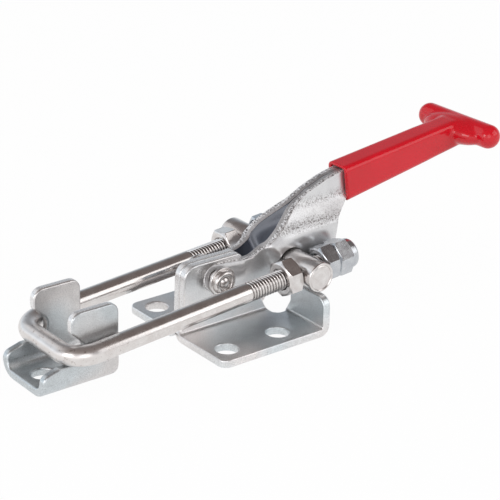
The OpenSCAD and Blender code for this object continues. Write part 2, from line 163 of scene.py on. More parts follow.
# Materials
class Nodes:
    """A short way to lay out the nodes of a tree."""

    def __init__(self, tree):
        self.tree = tree

    def add(self, kind, **settings):
        node = self.tree.nodes.new(kind)
        for key, value in settings.items():
            setattr(node, key, value)
        return node

    def link(self, value, socket):
        """Links an output to the socket, or sets the socket to a number."""
        if isinstance(value, (int, float)):
            socket.default_value = value
        else:
            self.tree.links.new(value, socket)

    def ramp(self, factor, stops):
        """A ramp of [place, colour] stops, where a number stands for a grey."""
        node = self.add("ShaderNodeValToRGB")
        elements = node.color_ramp.elements
        while len(elements) < len(stops):
            elements.new(0.5)
        for element, (at, colour) in zip(elements, stops):
            element.position = at
            element.color = (colour, colour, colour, 1) if isinstance(colour, float) else (*colour, 1)
        self.link(factor, node.inputs["Fac"])
        return node.outputs["Color"]

    def spread(self, factor, low, high, at_low=0.3, at_high=0.7):
        """Maps the factor from at_low and at_high to low and high."""
        node = self.add("ShaderNodeMapRange")
        node.inputs["From Min"].default_value = at_low
        node.inputs["From Max"].default_value = at_high
        node.inputs["To Min"].default_value = low
        node.inputs["To Max"].default_value = high
        self.link(factor, node.inputs["Value"])
        return node.outputs["Result"]

    def mix(self, factor, a, b, blend="MIX"):
        node = self.add("ShaderNodeMix", data_type="RGBA", blend_type=blend)
        self.link(factor, node.inputs[0])
        self.link(a, node.inputs[6])
        self.link(b, node.inputs[7])
        return node.outputs[2]

    def times(self, a, b):
        """One colour multiplied by another."""
        return self.mix(1.0, a, b, "MULTIPLY")

    def sums(self, operation, *values):
        node = self.add("ShaderNodeMath", operation=operation)
        for value, socket in zip(values, node.inputs):
            self.link(value, socket)
        return node.outputs[0]

    def split(self, vector):
        """The X, Y and Z outputs of a vector."""
        node = self.add("ShaderNodeSeparateXYZ")
        self.link(vector, node.inputs[0])
        return node.outputs

    def shaders(self, factor, a, b, surface):
        """Blends two shaders into the surface of an output node."""
        node = self.add("ShaderNodeMixShader")
        for value, socket in zip((factor, a, b), node.inputs):
            self.link(value, socket)
        self.link(node.outputs[0], surface)


class Finish(Nodes):
    """A material that is laid out on the object's own coordinates."""

    def __init__(self, name):
        self.material = bpy.data.materials.new(name)
        self.material.use_nodes = True
        super().__init__(self.material.node_tree)
        self.shader = self.tree.nodes["Principled BSDF"]
        self.at = self.add("ShaderNodeTexCoord").outputs["Object"]

    def noise(self, scale, detail=3.0, roughness=0.5, stretch=(1, 1, 1)):
        mapping = self.add("ShaderNodeMapping")
        mapping.inputs["Scale"].default_value = stretch
        self.link(self.at, mapping.inputs["Vector"])
        node = self.add("ShaderNodeTexNoise")
        node.inputs["Scale"].default_value = scale
        node.inputs["Detail"].default_value = detail
        node.inputs["Roughness"].default_value = roughness
        self.link(mapping.outputs["Vector"], node.inputs["Vector"])
        return node.outputs["Fac"]

    def bump(self, heights):
        """Chains bumps, given as (height, strength, distance)."""
        last = None
        for height, strength, distance in heights:
            node = self.add("ShaderNodeBump")
            self.link(strength, node.inputs["Strength"])
            node.inputs["Distance"].default_value = distance
            self.link(height, node.inputs["Height"])
            if last:
                self.link(last, node.inputs["Normal"])
            last = node.outputs["Normal"]
        self.link(last, self.shader.inputs["Normal"])

    def made(self, colour, metallic, roughness, heights):
        """Joins it all to the shader, and gives the material."""
        self.link(colour, self.shader.inputs["Base Color"])
        self.link(metallic, self.shader.inputs["Metallic"])
        self.link(roughness, self.shader.inputs["Roughness"])
        self.bump(heights)
        return self.material


def satin_zinc(name, low, high):
    """Satin zinc plating on pressed sheet, with a fine even grain."""
    m = Finish(name)
    grain = m.noise(3600, 3, 0.65)
    base = m.ramp(m.noise(300, 2), [(0.3, low), (0.7, high)])
    tint = m.ramp(m.noise(38, 1), [(0.44, (1.04, 1.01, 1.0)), (0.60, (0.89, 0.95, 0.98))])
    speck = m.ramp(grain, [(0.32, 0.72), (0.66, 1.14)])
    return m.made(
        m.times(m.times(base, tint), speck), 0.94, m.spread(grain, 0.27, 0.37),
        [(m.noise(70, 1), 0.12, 0.0004), (grain, 0.45, 0.00003)],
    )


def plate_zinc():
    """Zinc plating on the lever's plates: smooth, but stretched into grain in bands along the bends."""
    m = Finish("plate_zinc")
    cloud = m.noise(260, 3)
    height = m.spread(m.split(m.at)["Z"], 0.0, 1.0, 0.022, 0.040)
    bands = m.ramp(m.sums("ADD", height, m.spread(cloud, -0.03, 0.03)), [
        (0.23, 0.05), (0.31, 1.0), (0.37, 0.95), (0.44, 0.30), (0.54, 0.25), (0.62, 0.95), (0.68, 0.5),
        (0.76, 0.0),
    ])
    pits = m.noise(2100, 4, 0.7)
    dark = m.ramp(pits, [(0.40, (0.30, 0.28, 0.27)), (0.51, 0.97)])
    plain = m.ramp(m.noise(3600, 2), [(0.3, 0.90), (0.7, 1.04)])
    base = m.ramp(cloud, [(0.3, (0.66, 0.66, 0.67)), (0.7, (0.74, 0.745, 0.75))])
    return m.made(
        m.times(base, m.mix(bands, plain, dark)), 0.86, m.spread(bands, 0.28, 0.46, 0.0, 1.0),
        [(pits, bands, 0.00012), (m.noise(110, 1), 0.12, 0.0006)],
    )


def edge_zinc():
    """Plating over the cut edges of brackets and latch plate: less mirror-like, finely speckled."""
    m = Finish("edge_zinc")
    grain = m.noise(2400, 3, 0.7)
    base = m.ramp(grain, [(0.34, (0.64, 0.63, 0.63)), (0.46, (0.76, 0.75, 0.75)), (0.7, 0.84)])
    return m.made(base, 0.75, m.spread(grain, 0.24, 0.34), [(grain, 0.2, 0.00004)])


def inner_painted_shade_zinc():
    """Plating on the sides that face each other between the lever's plates: dark and bluish, painted
    shade.
    """
    m = Finish("inner_painted_shade_zinc")
    cloud = m.noise(200, 3)
    # The dark, bluish base stands in for the shade between the plates: painted shade
    base = m.ramp(cloud, [(0.3, (0.17, 0.18, 0.215)), (0.7, (0.23, 0.245, 0.28))])
    return m.made(base, 1.0, m.spread(cloud, 0.26, 0.34), [(cloud, 0.1, 0.0002)])


def torn_zinc():
    """The broken half of a sheared edge: glittering tears across the sheet."""
    m = Finish("torn_zinc")
    tear = m.noise(1800, 4, 0.75, stretch=(1.2, 0.6, 1.2))
    pits = m.noise(4200, 2)
    base = m.ramp(tear, [(0.40, (0.12, 0.11, 0.11)), (0.48, (0.60, 0.58, 0.58)), (0.55, 1.0)])
    return m.made(base, 0.7, m.spread(pits, 0.25, 0.50), [(tear, 0.8, 0.00025), (pits, 0.5, 0.00006)])


def cut_zinc():
    """The burnished half of a sheared edge, drawn smooth by the die."""
    m = Finish("cut_zinc")
    streak = m.noise(1500, 3, 0.6, stretch=(1, 0.3, 1))
    base = m.ramp(streak, [(0.3, (0.42, 0.40, 0.40)), (0.7, (0.62, 0.61, 0.61))])
    return m.made(base, 0.85, m.spread(streak, 0.30, 0.45), [(streak, 0.3, 0.00008)])


def drawn_steel():
    """Plating on the drawn rod: smooth along the straights, duller and pitted at the bent end."""
    m = Finish("drawn_steel")
    bent = m.spread(m.split(m.at)["X"], 1.0, 0.0, -0.053, -0.030)
    haze = m.noise(300, 3)
    grain = m.noise(3000, 3, 0.65)
    base = m.ramp(haze, [(0.3, (0.70, 0.66, 0.64)), (0.7, (0.79, 0.765, 0.75))])
    speck = m.ramp(grain, [(0.3, 0.86), (0.7, 1.06)])
    pits = m.ramp(m.noise(900, 4, 0.7), [(0.33, (0.62, 0.58, 0.56)), (0.41, 1.0)])
    return m.made(
        m.mix(bent, m.times(base, speck), m.times(base, pits)), 1.0,
        m.sums("MULTIPLY_ADD", bent, 0.13, m.spread(haze, 0.15, 0.20)),
        [(haze, 0.10, 0.0002), (grain, 0.22, 0.00002)],
    )


def turned_steel():
    """Plating on turned and forged steel, satin with a fine tooled grain."""
    m = Finish("turned_steel")
    haze = m.noise(420, 3)
    grain = m.noise(4200, 3, 0.6)
    base = m.ramp(haze, [(0.3, (0.66, 0.625, 0.61)), (0.7, (0.78, 0.76, 0.75))])
    speck = m.ramp(grain, [(0.3, 0.93), (0.7, 1.03)])
    return m.made(
        m.times(base, speck), 1.0, m.spread(grain, 0.19, 0.25),
        [(haze, 0.12, 0.0002), (grain, 0.08, 0.00002)],
    )


def thread_root_shade():
    """The dark bottom of the threads: painted shade in the grooves."""
    m = Finish("thread_root_shade")
    cloud = m.noise(900, 2)
    base = m.ramp(cloud, [(0.3, (0.10, 0.095, 0.09)), (0.7, (0.19, 0.18, 0.175))])
    return m.made(base, 1.0, m.spread(cloud, 0.40, 0.50), [(cloud, 0.1, 0.00003)])


def nut_zinc():
    """Bluish plating on the rear nuts and the locking nuts."""
    m = Finish("nut_zinc")
    haze = m.noise(420, 3)
    grain = m.noise(3600, 3, 0.6)
    base = m.ramp(haze, [(0.3, (0.50, 0.52, 0.55)), (0.7, (0.62, 0.64, 0.66))])
    speck = m.ramp(grain, [(0.3, 0.90), (0.7, 1.04)])
    return m.made(
        m.times(base, speck), 1.0, m.spread(haze, 0.18, 0.28),
        [(haze, 0.2, 0.0002), (grain, 0.12, 0.00002)],
    )


def dipped_red():
    """Glossy red plastic of the dipped sleeve, with a soft orange peel."""
    m = Finish("dipped_red")
    cloud = m.noise(60, 2)
    peel = m.noise(320, 2)
    base = m.ramp(cloud, [(0.3, (0.52, 0.003, 0.011)), (0.7, (0.58, 0.004, 0.015))])
    return m.made(base, 0.0, m.spread(peel, 0.08, 0.13), [(cloud, 0.15, 0.0006), (peel, 0.10, 0.0001)])


def ring_plastic():
    """Natural plastic of the locking rings."""
    m = Finish("ring_plastic")
    cloud = m.noise(700, 3)
    base = m.ramp(cloud, [(0.3, (0.62, 0.63, 0.60)), (0.7, (0.72, 0.73, 0.70))])
    return m.made(base, 0.0, m.spread(cloud, 0.35, 0.5), [(cloud, 0.2, 0.00004)])


BRACKET_ZINC = satin_zinc("bracket_zinc", 0.76, 0.84)
LATCH_ZINC = satin_zinc("latch_zinc", 0.64, 0.72)
EDGE_ZINC = edge_zinc()
PLATE_ZINC = plate_zinc()
INNER_PAINTED_SHADE = inner_painted_shade_zinc()
TORN_ZINC = torn_zinc()
CUT_ZINC = cut_zinc()
ROD_STEEL = drawn_steel()
STEEL = turned_steel()
THREAD_ROOT_SHADE = thread_root_shade()
NUT_ZINC = nut_zinc()
RED = dipped_red()
RING = ring_plastic()


# Drawing and turning
def drawn(points, filled=False):
    """A plane emptied in edit mode, with a line or a face drawn through points in millimetres.

    It stays open for editing, with all of it selected.
    """
    obj = added(bpy.ops.mesh.primitive_plane_add, size=1 * MM, location=(0, 0, 0))
    edit(obj)
    bpy.ops.mesh.select_all(action="SELECT")
    bpy.ops.mesh.delete(type="VERT")
    mesh = bmesh.from_edit_mesh(obj.data)
    line = [mesh.verts.new((x * MM, y * MM, z * MM)) for x, y, z in points]
    if filled:
        mesh.faces.new(line)
    else:
        for a, b in zip(line, line[1:]):
            mesh.edges.new((a, b))
    bmesh.update_edit_mesh(obj.data)
    bpy.ops.mesh.select_all(action="SELECT")
    return obj


def turned(profile, centre, segments=96):
    """Spins a profile of [radius, place along Y] points, in millimetres, about Y at centre."""
    obj = drawn([(r, y, 0) for r, y in profile])
    bpy.ops.mesh.spin(
        steps=segments, angle=2 * math.pi, center=(0, 0, 0), axis=(0, 1, 0), use_auto_merge=True
    )
    bpy.ops.mesh.select_all(action="SELECT")
    bpy.ops.mesh.remove_doubles(threshold=1e-6)
    outward()
    done()
    obj.location = centre
    place(obj)
    return obj


def lathe(profile):
    """A solid turned about X from [radius, place along X] points."""
    obj = turned(profile, Vector((0, 0, 0)), 72)
    obj.data.transform(Matrix.Rotation(-math.pi / 2, 4, "Z"))
    return obj


def arc(cx, cy, r, start, end, steps=6):
    """Points on an arc, angles in degrees from +radius towards +Y."""
    return [
        (cx + r * math.cos(math.radians(start + (end - start) * k / steps)),
         cy + r * math.sin(math.radians(start + (end - start) * k / steps)))
        for k in range(steps + 1)
    ]


# Pressed sheet
def merged_copy(node):
    """A copy of a node's mesh with its loose triangles merged and its flats made whole."""
    obj = bpy.data.objects.new("copy", NODES[node].data.copy())
    bpy.context.scene.collection.objects.link(obj)
    obj.data.materials.clear()
    edit(obj)
    bpy.ops.mesh.select_all(action="SELECT")
    bpy.ops.mesh.remove_doubles(threshold=2e-6)
    bpy.ops.mesh.dissolve_limited(angle_limit=math.radians(0.4))
    done()
    return obj


def rolled(node, width, segments=3):
    """The node's shape with every sharp edge rolled over."""
    obj = merged_copy(node)
    modifier(
        obj, "BEVEL", width=width * MM, segments=segments, limit_method="ANGLE",
        angle_limit=math.radians(28), use_clamp_overlap=False, miter_outer="MITER_ARC",
        harden_normals=False,
    )
    smooth(obj, 40)
    modifier(obj, "WEIGHTED_NORMAL", keep_sharp=True)
    return obj


def zinc_sheet(obj, finish, is_cut):
    """Gives obj its finish, and EDGE_ZINC where is_cut picks a face by its normal and place."""
    obj.data.materials.append(finish)
    obj.data.materials.append(EDGE_ZINC)
    for face in obj.data.polygons:
        if is_cut(face.normal, face.center / MM):
            face.material_index = 1


def bracket_edge(normal, at):
    """The cut edges of a bracket's web, and the top of its end wall."""
    if at.z > 5.5 and abs(at.y) < 2.6:
        return abs(normal.y) < 0.3
    return at.z > 11.6 and normal.z > 0.9


def ear_edge(normal, at):
    """The cut edges of the latch plate's ears, but not those that face the base."""
    return at.z > 9 and abs(normal.y) < 0.3 and normal.x < 0.2


for side in SIDES:
    bracket = rolled(f"base_bracket_{side}", 0.5)
    zinc_sheet(bracket, BRACKET_ZINC, bracket_edge)
    piece(bracket, f"bracket_sheet_{side}", "base", f"base_bracket_{side}")

latch = rolled("latch_plate", 0.62, 4)
zinc_sheet(latch, LATCH_ZINC, ear_edge)
piece(latch, "latch_sheet", "base", "latch_plate")

# The lever's plates, all lengths in millimetres
SHEET = 2.5

# The outline's radii round the rivet and the trunnion pin, and the radii of their bores
EYE_R = 4.3
BELLY_R = 8.5
RIVET_BORE = 2.6
PIN_BORE = 4.58

# How deep the die cuts a rim smooth before it tears, and how far its corners are broken
CUT_DEPTH = 1.2
RIM = 0.22

# How far out a plate stands: along the web, inside and outside, and outside at the cheek
ARM_IN = 2.6
ARM_OUT = 5.1
CHEEK_OUT = 8.0

# The slopes out to the cheek: how steep they are, where they start, and how round they meet
FRONT_STEEP = 1.3
FRONT_LEAN = math.radians(28)
FRONT_AHEAD = 5.1
BROW_STEEP = 0.55
BROW_OUT = 6.0
FOLD_ROUND = 0.7


def round_corners(points):
    """A closed outline in millimetres from [x, z, radius] corners."""
    steps = 6
    outline = []
    for k, (x, z, r) in enumerate(points):
        here = Vector((x, z))
        if r == 0:
            outline.append(here)
            continue
        back = (Vector(points[k - 1][:2]) - here).normalized()
        on = (Vector(points[(k + 1) % len(points)][:2]) - here).normalized()
        half_angle = back.angle(on) / 2
        reach = r / math.tan(half_angle)
        centre = here + (back + on).normalized() * (r / math.sin(half_angle))
        start = here + back * reach - centre
        sweep = start.angle_signed(here + on * reach - centre)
        for n in range(steps + 1):
            turn = -sweep * n / steps
            outline.append(centre + Vector((
                start.x * math.cos(turn) - start.y * math.sin(turn),
                start.x * math.sin(turn) + start.y * math.cos(turn),
            )))
    return outline


def spokes(centre, r, angles):
    """Corners without a radius, set round a centre at angles in degrees."""
    return [
        (centre[0] + r * math.cos(math.radians(a)), centre[1] + r * math.sin(math.radians(a)), 0)
        for a in angles
    ]


def plate_outline():
    """The lever's plate seen from the side, from its pivot end round over the top to the tail."""
    eye = spokes(PIVOT_XZ, EYE_R, range(265, 90, -13))
    top = [
        (9.0, 21.6, 8), (13.6, 24.1, 6), (18.2, 27.7, 6), (25.0, 32.5, 30), (32.0, 36.3, 12),
        (38.5, 38.7, 16), (46.0, 40.45, 20), (88.0, 45.7, 0),
    ]
    tail = [(88.0, 39.7, 0), (46.0, 31.7, 1.2), (39.4, 27.6, 2.2), (38.1, 20.5, 8), (37.4, 13.4, 2.5)]
    belly = spokes(TRUNNION_XZ, BELLY_R, range(-80, -122, -7))
    return round_corners(eye + top + tail + belly + [(13.6, 13.0, 3)])


def ease(a, b, width):
    """The smaller of a and b, with the corner between them rounded."""
    return (a + b - math.sqrt((a - b) ** 2 + width ** 2)) / 2


def plate_place(x, z, through):
    """How far from the middle plane the plate stands; through is 0 inside and 1 outside.

    In front it lies on the web, and under the grip on the middle plane. Between them it stands out
    to the cheek, over the slopes of front, fold and brow, and the lowest of them all counts. Each
    slope is its steepness, its outer side and how far out its inner side starts.
    """
    dx, dz = x - TRUNNION_XZ[0], z - TRUNNION_XZ[1]
    front = dx * math.cos(FRONT_LEAN) + dz * math.sin(FRONT_LEAN) + FRONT_AHEAD
    fold = max(0.66, min(0.95, 0.70 + 0.015 * (x - 23)))
    crease = 33.9 - 0.045 * (x - 19)
    brow = 0.616 * (x - 15) - 0.788 * (z - 26.2)
    level = CHEEK_OUT - SHEET * (1 - through)
    for steep, outside, start in (
        (FRONT_STEEP, ARM_OUT + FRONT_STEEP * front, ARM_IN), (fold, SHEET + fold * (crease - z), 0.0),
        (BROW_STEEP, BROW_OUT + BROW_STEEP * brow, 0.0),
    ):
        wall = SHEET * math.sqrt(1 + steep * steep)
        slope = -ease(-(outside - wall * (1 - through)), -(start + SHEET * through), FOLD_ROUND)
        level = ease(level, slope, FOLD_ROUND)
    return max(level, SHEET * through + 0.02)


def lever_plate(sign):
    """One plate: cut to its outline, bored, its rims broken, then pressed out to its cheek."""
    obj = drawn([(p.x, 0, p.y) for p in plate_outline()], filled=True)
    bpy.ops.mesh.extrude_region_move(TRANSFORM_OT_translate={"value": (0, SHEET * MM, 0)})
    outward()
    done()
    # The rivet's bore goes through, and the pin's is blind
    for (x, z), r, start in ((PIVOT_XZ, RIVET_BORE, -1.0), (TRUNNION_XZ, PIN_BORE, 0.4)):
        drill = turned(
            [(0, start), (r, start), (r, SHEET - 0.2), (r + 1.2, SHEET + 1), (0, SHEET + 1)],
            Vector((x, 0, z)) * MM,
        )
        combine(obj, drill, "DIFFERENCE")
    modifier(
        obj, "BEVEL", width=RIM * MM, segments=2, limit_method="ANGLE", angle_limit=math.radians(60),
        use_clamp_overlap=False,
    )
    for finish in (PLATE_ZINC, TORN_ZINC, CUT_ZINC, INNER_PAINTED_SHADE):
        obj.data.materials.append(finish)
    # A grid of cuts lets the flat plate be pressed out
    edit(obj, "FACE")
    cuts = [((0, CUT_DEPTH * MM, 0), (0, 1, 0))]
    cuts += [((x * MM, 0, 0), (1, 0, 0)) for x in range(6, 50)]
    cuts += [((0, 0, z * 0.75 * MM), (0, 0, 1)) for z in range(17, 54)]
    for point, way in cuts:
        bpy.ops.mesh.select_all(action="SELECT")
        bpy.ops.mesh.bisect(plane_co=point, plane_no=way)
    done()
    # The rim is torn outside and cut smooth inside, and the inner side is dark with painted shade
    for face in obj.data.polygons:
        if abs(face.normal.y) < 0.5:
            face.material_index = 1 if face.center.y > CUT_DEPTH * MM else 2
        elif face.center.y < 0.3 * MM:
            face.material_index = 3
    for v in obj.data.vertices:
        v.co.y = sign * MM * plate_place(v.co.x / MM, v.co.z / MM, v.co.y / MM / SHEET)
    edit(obj)
    outward()
    done()
    smooth(obj, 42)
    modifier(obj, "WEIGHTED_NORMAL", keep_sharp=True)
    return obj


for side, sign in SIDES.items():
    piece(lever_plate(sign), f"lever_plate_{side}", "handle", f"handle_plate_{side}")

# Turned parts, drawn as [radius, place along Y] points in millimetres
RIVET_HEAD = [
    *arc(0, 5.5, 2.2, 90, 44), (1.8, 6.75), *arc(2.85, 7.0, 0.8, 195, 0, 14),
    (3.65, 6.35), *arc(3.5, 6.35, 0.15, 0, -90, 3), (2.5, 6.2), (2.5, 0),
]
RIVET = RIVET_HEAD + [(r, -y) for r, y in reversed(RIVET_HEAD[:-1])]
WASHER = [
    (2.56, -0.5), (2.56, 0.5), *arc(4.2, 0.3, 0.2, 90, 0, 3), *arc(4.2, -0.3, 0.2, 0, -90, 3),
    (2.56, -0.5),
]
WASHER_Y = 5.7
PIN = [
    (0, 5.95), (4.4, 5.95), (4.5, 6.05), (4.5, 21.05), *arc(4.1, 21.1, 0.4, 0, 80, 4), (3.95, 21.52),
    (3.7, 21.28), (3.45, 21.46), (0, 21.55),
]

rivet = turned(RIVET, PIVOT)
smooth(rivet, 50)
piece(rivet, "rivet", "base", "pivot_rivet", STEEL)

for side, sign in SIDES.items():
    washer = turned(WASHER, PIVOT + Vector((0, sign * WASHER_Y, 0)) * MM)
    smooth(washer, 50)
    piece(washer, f"washer_{side}", "base", f"pivot_washer_{side}", STEEL)

for side, sign in SIDES.items():
    pin = turned(PIN, Vector((0, 0, 0)))
    pin.data.transform(Matrix.Translation(TRUNNION) @ Matrix.Scale(sign, 4, (0, 1, 0)))
    edit(pin)
    outward()
    done()
    smooth(pin, 50)
    piece(pin, f"trunnion_pin_{side}", "draw_bolt", f"trunnion_{side}", STEEL)


# Nuts, in millimetres; each kind's place along its rod and its turns in degrees
NUT_R = 10 / math.cos(math.radians(30)) / 2
NUT_H = 5.0
LOCK_H = 5.2
LOCK_TOTAL = 7.7
NUT_AT = {"front_nut": -9.55, "rear_nut": 4.55, "lock_nut": 9.6}
NUT_TURN = {
    "near": {"front_nut": 2, "rear_nut": 8, "lock_nut": 14},
    "far": {"front_nut": 20, "rear_nut": 24, "lock_nut": 5},
}


def hexagon(height, turn):
    """A hexagon bar along X, chamfered to a round face at both ends."""
    obj = added(
        bpy.ops.mesh.primitive_cylinder_add, vertices=6, radius=NUT_R * MM, depth=height * MM,
        location=(height / 2 * MM, 0, 0), rotation=(0, math.pi / 2, 0),
    )
    place(obj)
    obj.data.transform(Matrix.Rotation(math.radians(turn + 30), 4, "X"))
    combine(obj, lathe([
        (0, 0), (4.55, 0), (5.95, 0.86), (5.95, height - 0.86), (4.55, height), (0, height),
    ]), "INTERSECT")
    return obj


def set_nut(obj, kind, side, finish):
    """Rolls the nut's edges, sets it on its rod and names it."""
    modifier(
        obj, "BEVEL", width=0.12 * MM, segments=2, limit_method="ANGLE", angle_limit=math.radians(24),
        use_clamp_overlap=True,
    )
    obj.data.transform(SLOPE @ Matrix.Translation((NUT_AT[kind] * MM, SIDES[side] * ROD_Y * MM, 0)))
    smooth(obj, 30)
    modifier(obj, "WEIGHTED_NORMAL", keep_sharp=True)
    piece(obj, f"{kind}_hex_{side}", "draw_bolt", f"{kind}_{side}", finish)


def plain_nut(kind, side, finish):
    """A nut with the same countersunk bore on both faces."""
    nut = hexagon(NUT_H, NUT_TURN[side][kind])
    combine(nut, lathe([
        (0, -0.5), (3.95, -0.5), (2.97, 0.45), (2.97, NUT_H - 0.45), (3.95, NUT_H + 0.5), (0, NUT_H + 0.5),
    ]), "DIFFERENCE")
    set_nut(nut, kind, side, finish)


def lock_nut(side):
    """The nut with the round crimped collar that holds its plastic ring."""
    nut = hexagon(LOCK_H, NUT_TURN[side]["lock_nut"])
    combine(nut, lathe([
        (0, LOCK_H - 0.4), (4.5, LOCK_H - 0.4), (4.5, LOCK_TOTAL - 1.2),
        *arc(3.4, LOCK_TOTAL - 1.1, 1.1, 0, 90, 8), (0, LOCK_TOTAL),
    ]), "UNION")
    combine(nut, lathe([
        (0, -0.5), (3.95, -0.5), (2.97, 0.45), (2.97, LOCK_H), (3.84, LOCK_H), (3.84, LOCK_TOTAL - 0.5),
        (3.3, LOCK_TOTAL - 0.5), (3.3, LOCK_TOTAL + 0.5), (0, LOCK_TOTAL + 0.5),
    ]), "DIFFERENCE")
    set_nut(nut, "lock_nut", side, NUT_ZINC)


for side in SIDES:
    plain_nut("front_nut", side, STEEL)
    plain_nut("rear_nut", side, NUT_ZINC)
    lock_nut(side)
    ring = rolled(f"lock_ring_{side}", 0.15, 2)
    piece(ring, f"insert_ring_{side}", "draw_bolt", f"lock_ring_{side}", RING)


# The U-bolt and its threads, in millimetres; ROUND is how many sides a round part has
ROUND = 48
THREAD_CREST = ROD_R + 0.02
THREAD_BOTTOM = ROD_R - 0.60
THREAD_LAP = 0.6
# How far up from the bottom of the grooves the painted shade reaches
PAINTED_SHADE_DEPTH = 0.16
CORE_R = ROD_R - 0.55
SHOULDER = 0.45


def bent_rod():
    """The plain part of the U-bolt, drawn round from one thread to the other."""
    obj = added(
        bpy.ops.mesh.primitive_circle_add, vertices=ROUND, radius=ROD_R * MM, fill_type="NOTHING",
        location=(THREAD_START * MM, -ROD_Y * MM, 0), rotation=(0, math.pi / 2, 0),
    )
    place(obj)
    edit(obj)
    bpy.ops.mesh.select_all(action="SELECT")
    bpy.ops.mesh.extrude_edges_move(
        TRANSFORM_OT_translate={"value": ((BAR_AT + BEND_R - THREAD_START) * MM, 0, 0)}
    )
    bend_x = (BAR_AT + BEND_R) * MM
    bend_y = (ROD_Y - BEND_R) * MM
    bpy.ops.mesh.spin(steps=20, angle=math.pi / 2, center=(bend_x, -bend_y, 0), axis=(0, 0, 1))
    bpy.ops.mesh.extrude_edges_move(TRANSFORM_OT_translate={"value": (0, 2 * bend_y, 0)})
    bpy.ops.mesh.spin(steps=20, angle=math.pi / 2, center=(bend_x, bend_y, 0), axis=(0, 0, 1))
    bpy.ops.mesh.extrude_edges_move(
        TRANSFORM_OT_translate={"value": ((THREAD_START - BAR_AT - BEND_R) * MM, 0, 0)}
    )
    bpy.ops.mesh.select_all(action="SELECT")
    bpy.ops.mesh.remove_doubles(threshold=1e-6)
    outward()
    done()
    obj.data.materials.append(ROD_STEEL)
    return obj


def thread(y):
    """One rod's rolled thread: a pitch of its outline, screwed along the rod."""
    flank = [
        (0.0, THREAD_BOTTOM), (0.10, THREAD_BOTTOM + 0.02), (0.20, THREAD_BOTTOM + 0.20),
        (0.34, THREAD_CREST - 0.14), (0.42, THREAD_CREST - 0.03),
    ]
    outline = flank + [(0.5, THREAD_CREST)] + [(1 - x, r) for x, r in reversed(flank)]
    obj = drawn([(x * PITCH, 0, r) for x, r in outline])
    done()
    turns = round((THREAD_END - THREAD_START) / PITCH) - 1
    modifier(
        obj, "SCREW", axis="X", angle=2 * math.pi, screw_offset=PITCH * MM, iterations=turns,
        steps=36, render_steps=36, use_merge_vertices=True, merge_threshold=1e-6,
        use_smooth_shade=True,
    )
    obj.data.materials.append(STEEL)
    obj.data.materials.append(THREAD_ROOT_SHADE)
    # Faces near the bottom of each groove get the painted shade
    for face in obj.data.polygons:
        if math.hypot(face.center.y, face.center.z) < (THREAD_BOTTOM + PAINTED_SHADE_DEPTH) * MM:
            face.material_index = 1
    obj.location = ((THREAD_START - THREAD_LAP) * MM, y * MM, 0)
    place(obj)
    edit(obj)
    outward()
    done()
    return obj


def rod_core(y):
    """The solid middle of the threaded end, with its turned point."""
    start, end = THREAD_START - 0.4, ROD_END
    obj = added(
        bpy.ops.mesh.primitive_cylinder_add, vertices=ROUND, radius=CORE_R * MM,
        depth=(end - start) * MM, location=((start + end) / 2 * MM, y * MM, 0),
        rotation=(0, math.pi / 2, 0),
    )
    place(obj)
    edit(obj, "FACE")
    pick(obj, "faces", lambda f: f.normal.x > 0.9)
    bpy.ops.mesh.bevel(offset=0.35 * MM, segments=2, affect="EDGES")
    done()
    obj.data.materials.append(STEEL)
    return obj


def shoulder(y):
    """The short taper where the plain rod runs down into the thread."""
    obj = added(
        bpy.ops.mesh.primitive_cone_add, vertices=ROUND, radius1=ROD_R * MM,
        radius2=(ROD_R - 0.58) * MM, depth=SHOULDER * MM, end_fill_type="NOTHING",
        location=((THREAD_START + SHOULDER / 2) * MM, y * MM, 0), rotation=(0, math.pi / 2, 0),
    )
    place(obj)
    obj.data.materials.append(STEEL)
    return obj


parts = [bent_rod()]
for y in (-ROD_Y, ROD_Y):
    parts += [thread(y), rod_core(y), shoulder(y)]
u_bolt = join(parts)
u_bolt.data.transform(SLOPE)
smooth(u_bolt, 45)
piece(u_bolt, "drawn_u_bolt", "draw_bolt", "u_bolt")

# The dipped grip, in millimetres
SLEEVE_A = Vector((45.3, 0, 36.0))
SLEEVE_B = Vector((91.0, 0, 43.0))
SLEEVE_TILT = math.atan2(SLEEVE_B.z - SLEEVE_A.z, SLEEVE_B.x - SLEEVE_A.x)
SLEEVE_W = 8.6
SLEEVE_H = 11.3
SLEEVE_END_H = 8.8
SLEEVE_DROP = 0.1
SLEEVE_ROUND = 1.7
POCKET = (8, 5.9, 9.3)
POCKET_ROUND = 0.5
CROSS = Vector((95.0, 0, 43.9))
CROSS_R = 3.8
CROSS_REACH = 16.5
CROSS_ROUND = 3.5
NECK_AT = (93.3, 0, 43.3)
NECK_R = (6.0, 12.6, 4.3)


def sleeve():
    """The flat sleeve over the two plates, lower at its far end and round along its edges."""
    length = (SLEEVE_B - SLEEVE_A).length
    obj = added(bpy.ops.mesh.primitive_cube_add, size=1, location=(0, 0, 0))
    obj.scale = (length * MM, SLEEVE_W * MM, SLEEVE_H * MM)
    obj.location = (length / 2 * MM, 0, -SLEEVE_DROP * MM)
    place(obj)
    edit(obj, "FACE")
    pick(obj, "faces", lambda f: f.normal.x > 0.9)
    bpy.ops.transform.resize(value=(1, 1, SLEEVE_END_H / SLEEVE_H))
    bpy.ops.mesh.select_all(action="DESELECT")
    bpy.ops.mesh.select_mode(type="EDGE")
    pick(obj, "edges", lambda e: abs((e.verts[0].co - e.verts[1].co).x) > 0.01)
    bpy.ops.mesh.bevel(offset=SLEEVE_ROUND * MM, segments=8, affect="EDGES")
    done()
    return obj


def sleeve_pocket():
    """The space at the sleeve's mouth around the two plates."""
    obj = added(bpy.ops.mesh.primitive_cube_add, size=1, location=(0, 0, 0))
    obj.scale = [side * MM for side in POCKET]
    place(obj)
    edit(obj, "EDGE")
    pick(obj, "edges", lambda e: abs((e.verts[0].co - e.verts[1].co).x) > 0.001)
    bpy.ops.mesh.bevel(offset=POCKET_ROUND * MM, segments=3, affect="EDGES")
    done()
    return obj


